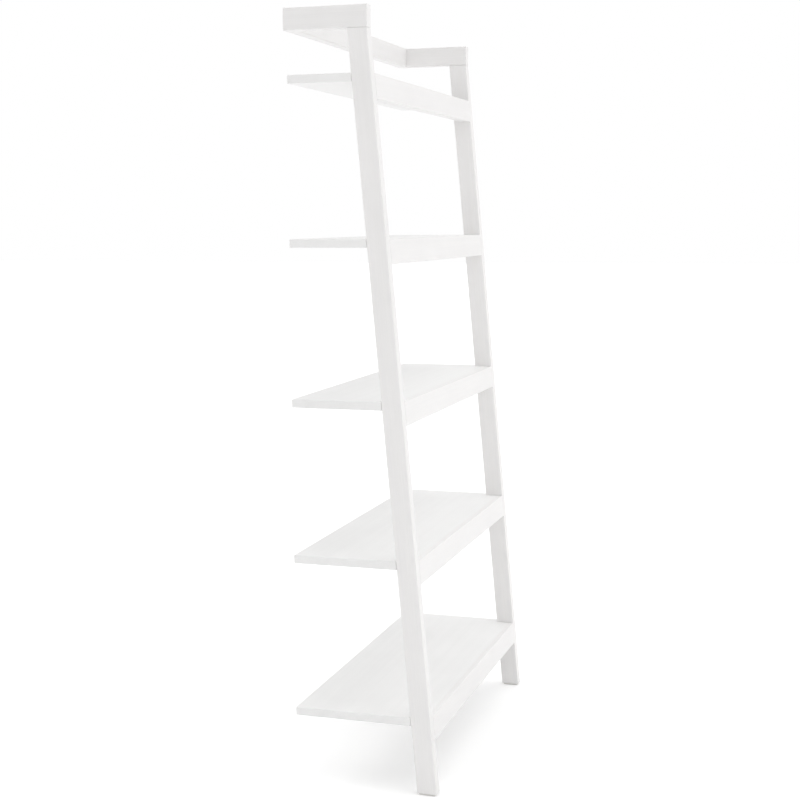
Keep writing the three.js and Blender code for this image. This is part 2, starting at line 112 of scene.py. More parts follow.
def add_camera():
    """A camera that looks along +X, turned, tilted and rolled."""
    level = math.cos(CAMERA_TILT)
    ahead = Vector((
        math.cos(CAMERA_TURN) * level,
        math.sin(CAMERA_TURN) * level,
        -math.sin(CAMERA_TILT),
    ))
    right = Vector((math.sin(CAMERA_TURN), -math.cos(CAMERA_TURN), 0))
    up = right.cross(ahead)
    rolled_right = right * math.cos(CAMERA_ROLL) + up * math.sin(CAMERA_ROLL)
    rolled_up = up * math.cos(CAMERA_ROLL) - right * math.sin(CAMERA_ROLL)
    turn = Matrix((rolled_right, rolled_up, -ahead)).transposed().to_4x4()
    bpy.ops.object.camera_add(location=CAMERA_PLACE)
    camera = bpy.context.object
    camera.name = "studio_camera"
    camera.matrix_world = Matrix.Translation(CAMERA_PLACE) @ turn
    camera.data.lens = CAMERA_LENS
    camera.data.clip_end = 60
    bpy.context.scene.camera = camera
    return camera


camera = add_camera()
print("camera at", tuple(round(v, 3) for v in camera.location), "lens", camera.data.lens)

# %% [markdown]
# ## Light and floor
#
# White on white needs light from all round, so that no face goes grey, and then just
# enough direction to tell the faces apart. The world here is a white studio that is
# darker at its two ends, towards the wall and overhead. The left end keeps the sides of
# the shelf a step below its fronts and tops. The right end is what the satin paint
# mirrors on the tops and fronts, which are seen at a low angle from the left, so it sets
# how bright their sheen is. The dimmer ceiling keeps the open tops from burning out.
# Four wide, weak suns add the soft shadows, from the left, the front, above and behind.
# The low one from the left passes between the boards to the far leg, and the one from
# behind reaches the tops of the boards, which the boards above them hide from the
# ceiling. A sun lights a large floor evenly, where a lamp close by would leave a bright
# pool with a grey rim.

# %% The white studio
WORLD_LIGHT = 1.53
LEFT_END = 0.10  # the grey of the world straight out to the left
RIGHT_END = 0.56  # and to the right
WALL_SIDE = 0.76  # and straight back, where the wall would be
CEILING = 0.78  # and straight up
SUN_WIDTH = math.radians(45)
SUNS = (  # name, the way it shines, strength
    ("left_sun", (0.95, 0.25, -0.20), 0.66),
    ("front_sun", (0.30, 0.75, -0.62), 0.04),
    ("top_sun", (-0.10, 0.30, -0.95), 0.34),
    ("back_sun", (0.10, -0.75, -0.62), 0.88),
)
FLOOR_HALF = 40.0


def eased(tree, value, at_zero, at_one):
    """Go smoothly from one number to another as a value goes from zero to one."""
    step = tree.nodes.new("ShaderNodeMapRange")
    step.interpolation_type = "SMOOTHSTEP"
    step.inputs["To Min"].default_value = at_zero
    step.inputs["To Max"].default_value = at_one
    tree.links.new(value, step.inputs["Value"])
    return step.outputs["Result"]


def grey_across(tree, value):
    """The grey of the world from its left end, through its middle, to its right end."""
    across = tree.nodes.new("ShaderNodeMapRange")
    across.inputs["From Min"].default_value = -1
    tree.links.new(value, across.inputs["Value"])
    ramp = tree.nodes.new("ShaderNodeValToRGB")
    ramp.color_ramp.interpolation = "EASE"
    ramp.color_ramp.elements.new(0.5)
    for stop, grey in zip(ramp.color_ramp.elements, (LEFT_END, 1, RIGHT_END)):
        stop.color = (grey, grey, grey, 1)
    tree.links.new(across.outputs["Result"], ramp.inputs["Fac"])
    return ramp.outputs["Color"]


def set_world():
    """A white world, dimmer on four sides, and plain white where it is seen."""
    world = bpy.data.worlds.new("white_studio")
    bpy.context.scene.world = world
    world.use_nodes = True
    tree = world.node_tree
    nodes, links = tree.nodes, tree.links
    nodes.clear()
    place = nodes.new("ShaderNodeTexCoord")
    split = nodes.new("ShaderNodeSeparateXYZ")
    links.new(place.outputs["Generated"], split.inputs["Vector"])
    strength = nodes.new("ShaderNodeMath")
    strength.operation = "MULTIPLY"
    to_wall = eased(tree, split.outputs["Y"], WORLD_LIGHT, WORLD_LIGHT * WALL_SIDE)
    links.new(to_wall, strength.inputs[0])
    links.new(eased(tree, split.outputs["Z"], 1, CEILING), strength.inputs[1])
    soft = nodes.new("ShaderNodeBackground")
    links.new(strength.outputs["Value"], soft.inputs["Strength"])
    links.new(grey_across(tree, split.outputs["X"]), soft.inputs["Color"])
    seen = nodes.new("ShaderNodeBackground")
    seen.inputs["Color"].default_value = (1, 1, 1, 1)
    path = nodes.new("ShaderNodeLightPath")
    both = nodes.new("ShaderNodeMixShader")
    links.new(path.outputs["Is Camera Ray"], both.inputs["Fac"])
    links.new(soft.outputs["Background"], both.inputs[1])
    links.new(seen.outputs["Background"], both.inputs[2])
    out = nodes.new("ShaderNodeOutputWorld")
    links.new(both.outputs["Shader"], out.inputs["Surface"])


def add_sun(name, towards, light):
    """A sun that shines along a direction, wide enough for soft shadows."""
    bpy.ops.object.light_add(type="SUN")
    sun = bpy.context.object
    sun.name = name
    sun.data.energy = light
    sun.data.angle = SUN_WIDTH
    sun.rotation_mode = "QUATERNION"
    sun.rotation_quaternion = Vector(towards).to_track_quat("-Z", "Y")


set_world()
for name, towards, light in SUNS:
    add_sun(name, towards, light)
bpy.context.scene.view_settings.view_transform = "Standard"
bpy.context.scene.view_settings.look = "None"

bpy.ops.object.select_all(action="DESELECT")
bpy.ops.mesh.primitive_plane_add(size=2 * FLOOR_HALF, location=(0, 0, 0))
floor = bpy.context.object
floor.name = "studio_floor"
bpy.ops.object.transform_apply(location=True, rotation=True, scale=True)
print("world,", len(SUNS), "wide suns and a floor of", 2 * FLOOR_HALF, "m")

# %% [markdown]
# ## Helpers: one piece of stock at a time
#
# A sawn piece starts as a cube primitive stretched to its box. From there on the work
# is in edit mode: pick vertices, edges or faces in code, by where they are or which
# way they face, and run one operator on the pick. Nothing else may be selected,
# because an operator acts on everything that is.

# %% Helpers for selecting and shaping
def only(piece):
    """Leave this piece as the one selected and active object."""
    bpy.ops.object.select_all(action="DESELECT")
    piece.select_set(True)
    bpy.context.view_layer.objects.active = piece


def settle(piece):
    """Move the object's place, turn and scale into its mesh."""
    only(piece)
    bpy.ops.object.transform_apply(location=True, rotation=True, scale=True)
    return piece


def add_block(name, low, high):
    """A block of stock between two corners."""
    bpy.ops.object.select_all(action="DESELECT")
    bpy.ops.mesh.primitive_cube_add(size=1, location=(Vector(low) + Vector(high)) / 2)
    block = bpy.context.object
    block.name = block.data.name = name
    block.scale = Vector(high) - Vector(low)
    return settle(block)


def add_round(name, radius, start, direction, length, sides=32):
    """A round bar from a point, along a direction."""
    bpy.ops.object.select_all(action="DESELECT")
    bpy.ops.mesh.primitive_cylinder_add(
        vertices=sides, radius=radius, depth=length, location=(0, 0, length / 2))
    bar = settle(bpy.context.object)
    bar.name = bar.data.name = name
    turn = Vector(direction).to_track_quat("Z", "Y").to_matrix().to_4x4()
    bar.matrix_world = Matrix.Translation(start) @ turn
    return settle(bar)


def pick(piece, kind, test):
    """Enter edit mode with only the vertices, edges or faces that pass, and count them."""
    only(piece)
    bpy.ops.object.mode_set(mode="EDIT")
    bpy.ops.mesh.select_mode(type=kind)
    bpy.ops.mesh.select_all(action="DESELECT")
    shape = bmesh.from_edit_mesh(piece.data)
    parts = {"VERT": shape.verts, "EDGE": shape.edges, "FACE": shape.faces}[kind]
    chosen = [part for part in parts if test(part)]
    for part in chosen:
        part.select_set(True)
    bmesh.update_edit_mesh(piece.data)
    return len(chosen)


def done():
    """Back to object mode."""
    bpy.ops.object.mode_set(mode="OBJECT")


def runs_along(edge, axis, least):
    """True for an edge at least this long that runs mostly along an axis."""
    span = edge.verts[1].co - edge.verts[0].co
    return abs(span[axis]) > 0.9 * span.length and span.length > least


def ease(piece, radius, steps, test):
    """Round over the picked edges, as a router or sanding block does."""
    if pick(piece, "EDGE", test):
        bpy.ops.mesh.bevel(offset=radius, segments=steps, affect="EDGES", clamp_overlap=True)
    done()


def on_plane(edge, axis, place):
    """True for an edge that lies in a plane across an axis."""
    return all(abs(v.co[axis] - place) < 1e-5 for v in edge.verts)


def carve(piece, cutters, action="DIFFERENCE"):
    """Cut shapes out of a piece, or join them on, and remove the cutters."""
    for cutter in cutters:
        only(piece)
        bpy.ops.object.modifier_add(type="BOOLEAN")
        joint = piece.modifiers[-1]
        joint.operation = action
        joint.solver = "EXACT"
        joint.object = cutter
        bpy.ops.object.modifier_apply(modifier=joint.name)
        bpy.data.objects.remove(cutter)


def clean(piece):
    """Merge doubles and turn every face outwards."""
    pick(piece, "VERT", lambda v: True)
    bpy.ops.mesh.select_all(action="SELECT")
    bpy.ops.mesh.remove_doubles(threshold=1e-6)
    bpy.ops.mesh.normals_make_consistent(inside=False)
    done()


def shade(piece, degrees=40):
    """Smooth the rounded edges and keep the flat faces flat."""
    only(piece)
    bpy.ops.object.shade_smooth_by_angle(angle=math.radians(degrees))
    bpy.ops.object.modifier_add(type="WEIGHTED_NORMAL")
    weigh = piece.modifiers[-1]
    weigh.keep_sharp = True
    bpy.ops.object.modifier_apply(modifier=weigh.name)


def hand_over(piece, node, material):
    """Give a finished piece its material and its body, and hide its CAD node."""
    clean(piece)
    shade(piece)
    piece.data.materials.clear()
    piece.data.materials.append(material)
    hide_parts(node)
    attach(piece, "root")
    return piece


print("helpers ready")

# %% [markdown]
# ## Effects that several finishes share
#
# Two effects turn up in more than one finish. **paint_film** is sprayed paint over
# wood: faint grain that shows through along the piece, the orange peel of the spray,
# and small changes of gloss. **worn_edge** finds the places where the surface turns a
# corner, where paint is thin and hands rub. Each is a node group, built once, that
# puts out only masks and values. The shader itself stays in each material.

# %% Node helpers
def node(tree, kind, **values):
    """A new node, with its properties set by name."""
    new = tree.nodes.new(kind)
    for key, value in values.items():
        setattr(new, key, value)
    return new


def new_group(name, inputs, outputs):
    """An empty node group with named sockets."""
    group = bpy.data.node_groups.new(name, "ShaderNodeTree")
    for label, kind, value in inputs:
        socket = group.interface.new_socket(label, in_out="INPUT", socket_type=kind)
        if value is not None:
            socket.default_value = value
    for label, kind in outputs:
        group.interface.new_socket(label, in_out="OUTPUT", socket_type=kind)
    start = group.nodes.new("NodeGroupInput")
    end = group.nodes.new("NodeGroupOutput")
    return group, start, end


def reckon(tree, action, first, second):
    """A math node on two outputs, or on an output and a number."""
    step = node(tree, "ShaderNodeMath", operation=action)
    for place, value in enumerate((first, second)):
        if isinstance(value, (int, float)):
            step.inputs[place].default_value = value
        else:
            tree.links.new(value, step.inputs[place])
    return step.outputs[0]


def total(tree, first, second):
    """The sum of two outputs, or of an output and a number."""
    return reckon(tree, "ADD", first, second)


def product(tree, first, second):
    """The product of two outputs, or of an output and a number."""
    return reckon(tree, "MULTIPLY", first, second)


def spread(tree, value, low, high, new_low, new_high):
    """Map a stretch of values onto another."""
    step = node(tree, "ShaderNodeMapRange")
    step.inputs["From Min"].default_value = low
    step.inputs["From Max"].default_value = high
    step.inputs["To Min"].default_value = new_low
    step.inputs["To Max"].default_value = new_high
    tree.links.new(value, step.inputs["Value"])
    return step.outputs["Result"]


def noise(tree, place, scale, detail, roughness):
    """A noise texture read at a place."""
    step = node(tree, "ShaderNodeTexNoise")
    step.inputs["Scale"].default_value = scale
    step.inputs["Detail"].default_value = detail
    step.inputs["Roughness"].default_value = roughness
    tree.links.new(place, step.inputs["Vector"])
    return step.outputs["Fac"]


def noise_vector(tree, place, scale):
    """A noise texture's three channels, centred on zero, to move a place about."""
    step = node(tree, "ShaderNodeTexNoise")
    step.inputs["Scale"].default_value = scale
    step.inputs["Detail"].default_value = 1.0
    tree.links.new(place, step.inputs["Vector"])
    centred = node(tree, "ShaderNodeVectorMath", operation="SUBTRACT")
    tree.links.new(step.outputs["Color"], centred.inputs[0])
    centred.inputs[1].default_value = (0.5, 0.5, 0.5)
    return centred.outputs["Vector"]


def stretched(tree, place, scale):
    """The place, squeezed or stretched along each axis."""
    step = node(tree, "ShaderNodeMapping")
    step.inputs["Scale"].default_value = scale
    tree.links.new(place, step.inputs["Vector"])
    return step.outputs["Vector"]


# %% The paint film and the worn edge
STREAKS = (6, 330, 330)  # grain lines, drawn out along X
BANDS = (1.6, 60, 60)  # broad bands of early and late wood
PORES = (42, 1100, 1100)
ORANGE_PEEL = 460.0
SPRAY_WAVES = 34.0
GLOSS_PATCHES = 6.5


def make_paint_film():
    """Grain along X, orange peel and gloss patches. Height is in parts of a film."""
    group, start, end = new_group(
        "paint_film",
        [("Place", "NodeSocketVector", None), ("Grain", "NodeSocketFloat", 0.5)],
        [("Height", "NodeSocketFloat"), ("Gloss", "NodeSocketFloat"),
         ("Tone", "NodeSocketFloat"), ("Pores", "NodeSocketFloat")],
    )
    place, grain = start.outputs["Place"], start.outputs["Grain"]
    wander = node(group, "ShaderNodeVectorMath", operation="MULTIPLY_ADD")
    wobble = noise_vector(group, stretched(group, place, (3, 9, 9)), 1.0)
    group.links.new(wobble, wander.inputs[0])
    wander.inputs[1].default_value = (0, 0.006, 0.006)
    group.links.new(place, wander.inputs[2])
    along = wander.outputs["Vector"]
    streaks = noise(group, stretched(group, along, STREAKS), 1.0, 4.0, 0.62)
    bands = noise(group, stretched(group, along, BANDS), 1.0, 2.0, 0.5)
    pore_field = noise(group, stretched(group, along, PORES), 1.0, 2.0, 0.5)
    pores = spread(group, pore_field, 0.40, 0.30, 0.0, 1.0)
    pores = product(group, pores, spread(group, bands, 0.35, 0.60, 0.1, 1.0))
    pores = product(group, pores, grain)
    peel = product(group, noise(group, place, ORANGE_PEEL, 2.0, 0.45), 0.35)
    waves = product(group, noise(group, place, SPRAY_WAVES, 2.0, 0.5), 0.55)
    patches = noise(group, place, GLOSS_PATCHES, 3.0, 0.55)
    wood = product(group, total(group, streaks, product(group, bands, 0.6)), grain)
    height = total(group, total(group, wood, peel), waves)
    group.links.new(total(group, height, product(group, pores, -0.9)), end.inputs["Height"])
    gloss = total(group, spread(group, patches, 0.3, 0.7, -0.5, 0.5),
                  spread(group, streaks, 0.3, 0.7, -0.25, 0.25))
    group.links.new(gloss, end.inputs["Gloss"])
    tone = total(group, product(group, patches, 0.45), product(group, streaks, 0.30))
    tone = total(group, tone, product(group, bands, 0.25))
    group.links.new(spread(group, tone, 0.38, 0.62, 0.0, 1.0), end.inputs["Tone"])
    group.links.new(pores, end.inputs["Pores"])
    return group


def make_worn_edge():
    """A mask of the corners: where a rounded normal and the true normal differ."""
    group, start, end = new_group(
        "worn_edge",
        [("Place", "NodeSocketVector", None), ("Radius", "NodeSocketFloat", 0.003)],
        [("Edge", "NodeSocketFloat")],
    )
    rounded = node(group, "ShaderNodeBevel", samples=6)
    group.links.new(start.outputs["Radius"], rounded.inputs["Radius"])
    true = node(group, "ShaderNodeNewGeometry")
    compare = node(group, "ShaderNodeVectorMath", operation="DOT_PRODUCT")
    group.links.new(rounded.outputs["Normal"], compare.inputs[0])
    group.links.new(true.outputs["True Normal"], compare.inputs[1])
    turn = spread(group, compare.outputs["Value"], 0.97, 0.80, 0.0, 1.0)
    breaks = noise(group, start.outputs["Place"], 140.0, 3.0, 0.6)
    rubbed = product(group, turn, spread(group, breaks, 0.35, 0.65, 0.35, 1.0))
    group.links.new(rubbed, end.inputs["Edge"])
    return group


PAINT_FILM = make_paint_film()
WORN_EDGE = make_worn_edge()
print("node groups:", [g.name for g in (PAINT_FILM, WORN_EDGE)])

# %% [markdown]
# ## White satin paint
#
# The same paint is on every wooden piece, and only the direction of the grain under
# it changes: up the legs, along the arms, and across on the rungs and boards. A
# Mapping node turns the object's coordinates so that the grain always runs along X
# inside the group. The boards are smoother than the solid wood, so their grain is
# weaker.

# %% The paint on the wood
def start_material(name):
    """A material with a Principled shader and the object's coordinates."""
    material = bpy.data.materials.new(name)
    material.use_nodes = True
    tree = material.node_tree
    shader = tree.nodes["Principled BSDF"]
    place = tree.nodes.new("ShaderNodeTexCoord").outputs["Object"]
    return material, tree, shader, place


def use_group(tree, group, place, **values):
    """A node group placed in a material, fed with the place and its own values."""
    new = tree.nodes.new("ShaderNodeGroup")
    new.node_tree = group
    tree.links.new(place, new.inputs["Place"])
    for key, value in values.items():
        new.inputs[key].default_value = value
    return new


def blend_colours(tree, mask, first, second):
    """A mix of two colours by a mask. Either may be a colour or an output."""
    mix = node(tree, "ShaderNodeMix", data_type="RGBA")
    tree.links.new(mask, mix.inputs["Factor"])
    for socket, value in ((mix.inputs[6], first), (mix.inputs[7], second)):
        if isinstance(value, tuple):
            socket.default_value = (*value, 1)
        else:
            tree.links.new(value, socket)
    return mix.outputs[2]


def add_bump(tree, shader, height, depth):
    """Relief from a height that is one at the given depth in metres."""
    bump = tree.nodes.new("ShaderNodeBump")
    bump.inputs["Strength"].default_value = 1.0
    bump.inputs["Distance"].default_value = depth
    tree.links.new(height, bump.inputs["Height"])
    tree.links.new(bump.outputs["Normal"], shader.inputs["Normal"])


PAINT_THIN = (0.765, 0.750, 0.722)  # where the undercoat shows at a corner
PAINT_PORE = (0.740, 0.728, 0.705)  # in the pores that the paint hasn't filled
PAINT_GLOSS = 0.40  # roughness of the dry film
FILM_DEPTH = 0.085 * MM


def shade_of(colour, step):
    """A colour, a step lighter or darker."""
    return tuple(channel * step for channel in colour)


def paint(name, grain_turn, grain, white):
    """White satin paint over wood whose grain runs along one direction."""
    material, tree, shader, place = start_material(name)
    turned = node(tree, "ShaderNodeMapping")
    turned.inputs["Rotation"].default_value = grain_turn
    tree.links.new(place, turned.inputs["Vector"])
    film = use_group(tree, PAINT_FILM, turned.outputs["Vector"], Grain=grain)
    corner = use_group(tree, WORN_EDGE, place, Radius=1.8 * MM)
    body = blend_colours(
        tree, film.outputs["Tone"], shade_of(white, 0.965), shade_of(white, 1.015))
    body = blend_colours(tree, product(tree, film.outputs["Pores"], 0.55), body, PAINT_PORE)
    thin = product(tree, corner.outputs["Edge"], 0.45)
    tree.links.new(blend_colours(tree, thin, body, PAINT_THIN), shader.inputs["Base Color"])
    gloss = spread(tree, film.outputs["Gloss"], -0.7, 0.7, PAINT_GLOSS - 0.08, PAINT_GLOSS + 0.08)
    gloss = total(tree, gloss, product(tree, corner.outputs["Edge"], -0.06))
    tree.links.new(gloss, shader.inputs["Roughness"])
    add_bump(tree, shader, film.outputs["Height"], FILM_DEPTH)
    return material


QUARTER = math.pi / 2
WOOD_WHITE = (0.806, 0.796, 0.791)
BOARD_WHITE = (0.812, 0.809, 0.804)
paint_up = paint("white_paint_up", (RAKE_ANGLE, QUARTER, 0), 1.0, WOOD_WHITE)
paint_back = paint("white_paint_back", (0, 0, -QUARTER), 1.0, WOOD_WHITE)
paint_across = paint("white_paint_across", (0, 0, 0), 1.0, WOOD_WHITE)
paint_board = paint("white_paint_board", (0, 0, 0), 0.4, BOARD_WHITE)
print("paints:", [m.name for m in (paint_up, paint_back, paint_across, paint_board)])

# %% [markdown]
# ## Small metal and plastic
#
# The cams are cast zinc: grey, softly pitted, brighter where the driver has rubbed the
# cross. The screws and pins are plated steel, smoother and shinier. The brackets are
# powder coated, which leaves a pebbled skin. The glides are moulded plastic, matt with
# a fine grain and scuffed underneath. The floor is white and faintly lit where the
# camera sees it, and throws a little less light back on the shelf.

# %% Metal and plastic finishes
def mottled(tree, field, first, second):
    """Two colours that share a surface in soft blotches."""
    return blend_colours(tree, spread(tree, field, 0.35, 0.65, 0, 1), first, second)


def cast_zinc():
    """Dull cast metal with fine pits and rubbed edges."""
    material, tree, shader, place = start_material("cast_zinc_skin")
    pits = noise(tree, place, 1600.0, 3.0, 0.6)
    stain = noise(tree, place, 160.0, 3.0, 0.6)
    corner = use_group(tree, WORN_EDGE, place, Radius=0.5 * MM)
    dull = mottled(tree, stain, (0.44, 0.45, 0.46), (0.58, 0.59, 0.60))
    tree.links.new(blend_colours(tree, corner.outputs["Edge"], dull, (0.76, 0.77, 0.77)),
                   shader.inputs["Base Color"])
    tree.links.new(spread(tree, pits, 0.3, 0.7, 0.36, 0.58), shader.inputs["Roughness"])
    tree.links.new(spread(tree, stain, 0.3, 0.7, 0.78, 0.95), shader.inputs["Metallic"])
    add_bump(tree, shader, pits, 0.05 * MM)
    return material


def plated_steel():
    """Zinc-plated steel with a faint cloud in its shine and fine turning marks."""
    material, tree, shader, place = start_material("bright_plating")
    cloud = noise(tree, place, 260.0, 2.0, 0.5)
    marks = noise(tree, stretched(tree, place, (400, 400, 9000)), 1.0, 2.0, 0.5)
    corner = use_group(tree, WORN_EDGE, place, Radius=0.4 * MM)
    plate = mottled(tree, cloud, (0.60, 0.62, 0.63), (0.74, 0.75, 0.74))
    tree.links.new(blend_colours(tree, corner.outputs["Edge"], plate, (0.84, 0.84, 0.83)),
                   shader.inputs["Base Color"])
    tree.links.new(spread(tree, cloud, 0.3, 0.7, 0.22, 0.38), shader.inputs["Roughness"])
    shader.inputs["Metallic"].default_value = 1.0
    add_bump(tree, shader, marks, 0.02 * MM)
    return material


def powder_coat():
    """White powder coat: a pebbled skin that thins at the corners of the plate."""
    material, tree, shader, place = start_material("white_powder_coat")
    pebbles = noise(tree, place, 1100.0, 2.0, 0.5)
    cloud = noise(tree, place, 90.0, 3.0, 0.6)
    corner = use_group(tree, WORN_EDGE, place, Radius=0.6 * MM)
    coat = mottled(tree, cloud, (0.79, 0.79, 0.78), (0.83, 0.83, 0.82))
    thin = product(tree, corner.outputs["Edge"], 0.5)
    tree.links.new(blend_colours(tree, thin, coat, (0.66, 0.66, 0.65)),
                   shader.inputs["Base Color"])
    tree.links.new(spread(tree, pebbles, 0.3, 0.7, 0.34, 0.50), shader.inputs["Roughness"])
    add_bump(tree, shader, pebbles, 0.06 * MM)
    return material


def glide_plastic():
    """Moulded plastic with a fine matt grain and scuffs near the floor."""
    material, tree, shader, place = start_material("moulded_plastic")
    grain = noise(tree, place, 2400.0, 2.0, 0.5)
    scuff = noise(tree, stretched(tree, place, (120, 900, 120)), 1.0, 3.0, 0.65)
    corner = use_group(tree, WORN_EDGE, place, Radius=0.6 * MM)
    scuffed = spread(tree, scuff, 0.4, 0.6, 0, 1)
    skin = blend_colours(tree, scuffed, (0.71, 0.70, 0.67), (0.76, 0.75, 0.72))
    rub = product(tree, corner.outputs["Edge"], 0.6)
    tree.links.new(blend_colours(tree, rub, skin, (0.60, 0.59, 0.56)),
                   shader.inputs["Base Color"])
    tree.links.new(spread(tree, scuff, 0.3, 0.7, 0.45, 0.62), shader.inputs["Roughness"])
    add_bump(tree, shader, grain, 0.03 * MM)
    return material


FLOOR_BOUNCE = (0.93, 0.93, 0.93)  # what the shelf sees of the floor
FLOOR_GLOW = (0.08, 0.08, 0.08)  # what the camera sees on top of its white


def floor_finish():
    """A pale lit floor: the camera sees it a little brighter than the shelf does."""
    material, tree, shader, place = start_material("pale_floor")
    mottle = noise(tree, place, 3.0, 3.0, 0.5)
    white = blend_colours(tree, mottle, (0.965, 0.965, 0.965), (0.98, 0.98, 0.98))
    seen = node(tree, "ShaderNodeLightPath").outputs["Is Camera Ray"]
    bounce = blend_colours(tree, seen, FLOOR_BOUNCE, white)
    glow = blend_colours(tree, seen, (0, 0, 0), FLOOR_GLOW)
    tree.links.new(bounce, shader.inputs["Base Color"])
    tree.links.new(glow, shader.inputs["Emission Color"])
    shader.inputs["Emission Strength"].default_value = 1
    shader.inputs["Roughness"].default_value = 0.8
    return material


zinc = cast_zinc()
steel = plated_steel()
powder = powder_coat()
plastic = glide_plastic()
floor.data.materials.append(floor_finish())
print("small finishes:", [m.name for m in (zinc, steel, powder, plastic)])

# %% [markdown]
# ## Legs
#
# A leg is a straight stick of 28 by 48 stock, but both of its ends are cut level while
# it stands at a slant. So it starts as an upright block, and its top end is slid
# towards the wall: the ends stay level and the sides lean, exactly as the saw leaves
# them. Then the long edges are rounded over, and the sawn ends get only a rub with
# sandpaper. A round pocket is drilled in the back near the top, where nobody looks,
# for the cam that holds the arm.

# %% Legs
LONG_EASE = 1.8 * MM
END_EASE = 0.35 * MM
POCKET_GAP = 0.3 * MM
CUT_PAST = 10 * MM  # how far a cutter runs on, past the hardware that it makes room for


def cam_pocket(node_name, outward):
    """A cutter for the round pocket that a cam sits in, open towards outward."""
    low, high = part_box(node_name)
    middle = (low + high) / 2
    size = high - low
    depth = min(size)
    radius = sorted(size)[1] / 2 + POCKET_GAP
    start = middle - Vector(outward) * (depth / 2 + POCKET_GAP)
    return add_round("pocket_cutter", radius, start, outward, depth + CUT_PAST, 48)


def make_leg(side):
    """One leg, from an upright block whose top is slid back."""
    low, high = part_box(f"leg_{side}")
    leg = add_block(f"{side}_leg", low, (high.x, low.y + LEG_DEPTH, high.z))
    pick(leg, "VERT", lambda v: v.co.z > high.z - MM)
    bpy.ops.transform.translate(value=(0, high.y - low.y - LEG_DEPTH, 0))
    done()
    ease(leg, LONG_EASE, 4, lambda e: runs_along(e, 2, 1.0))
    ease(leg, END_EASE, 1, lambda e: on_plane(e, 2, low.z) or on_plane(e, 2, high.z))
    carve(leg, [cam_pocket(f"cam_arm_{side}", (0, 1, 0))])
    return hand_over(leg, f"leg_{side}", paint_up)


legs = [make_leg(side) for side, _ in SIDES]
print("legs:", [(leg.name, len(leg.data.polygons)) for leg in legs])

# %% [markdown]
# ## Arms and back rail
#
# The top frame is three straight pieces. The arms are plain blocks with their long
# edges rounded. The back rail fits between them, so its ends stay sharp: a rounded end
# would leave a groove at the joint. It carries two cam pockets in the face that is
# against the wall, and two seats, cut in its top and its back, for the wall brackets.

# %% Arms and back rail
PLATE = 2 * MM  # the steel of the brackets
BEND_OUTSIDE = 3 * MM
SEAT_GAP = 0.5 * MM
HEAD_RADIUS = 5.5 * MM  # room for the head of a wall screw
HEAD_ROOM = 4 * MM
bracket_low, bracket_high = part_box("wall_bracket_left")
WALL_HOLE_Z = (bracket_low.z + bracket_high.z - BEND_OUTSIDE) / 2


def make_arm(side):
    """One arm, from the wall to the front of its leg."""
    low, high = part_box(f"arm_{side}")
    arm = add_block(f"{side}_arm", low, high)
    ease(arm, LONG_EASE, 4, lambda e: runs_along(e, 1, 0.1))
    ease(arm, 2 * END_EASE, 2, lambda e: on_plane(e, 1, low.y) or on_plane(e, 1, high.y))
    return hand_over(arm, f"arm_{side}", paint_back)


def bracket_seat(side):
    """Cutters for the seat of a bracket: over the top, down the back, a screw head."""
    low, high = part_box(f"wall_bracket_{side}")
    left, right = low.x - SEAT_GAP, high.x + SEAT_GAP
    floor_z, floor_y = high.z - PLATE - SEAT_GAP, high.y - PLATE - SEAT_GAP
    corner = (right, high.y + MM, high.z + 6 * MM)
    over = add_block("seat_cutter", (left, low.y - SEAT_GAP, floor_z), corner)
    down = add_block("seat_cutter", (left, floor_y, low.z - SEAT_GAP), corner)
    start = Vector(((low.x + high.x) / 2, high.y - PLATE - HEAD_ROOM, WALL_HOLE_Z))
    return [over, down, add_round("head_cutter", HEAD_RADIUS, start, (0, 1, 0), 3 * HEAD_ROOM)]


def make_back_rail():
    """The rail against the wall, with a pocket for a cam near each end."""
    low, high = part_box("back_rail")
    rail = add_block("wall_rail", low, high)
    ease(rail, LONG_EASE, 4, lambda e: runs_along(e, 0, 0.5))
    ease(rail, END_EASE, 1, lambda e: on_plane(e, 0, low.x) or on_plane(e, 0, high.x))
    carve(rail, [cam_pocket(f"cam_rail_{side}", (0, 1, 0)) for side, _ in SIDES])
    for side, _ in SIDES:
        carve(rail, bracket_seat(side))
    return hand_over(rail, "back_rail", paint_across)


arms = [make_arm(side) for side, _ in SIDES]
wall_rail = make_back_rail()
print("top frame:", [p.name for p in (*arms, wall_rail)])

# %% [markdown]
# ## Rungs
#
# A rung follows the legs' slant at its front and back, but its top is level with the
# board. It begins as the lower part only, below the seat. Its top face is split along
# the line of the seat, and the front strip is pulled up to make the lip that hides the
# front edge of the board. Then each row of vertices is slid to where the slant puts
# it.

# %% Rungs
THROUGH_RUNG = 60 * MM  # longer than a rung is tall


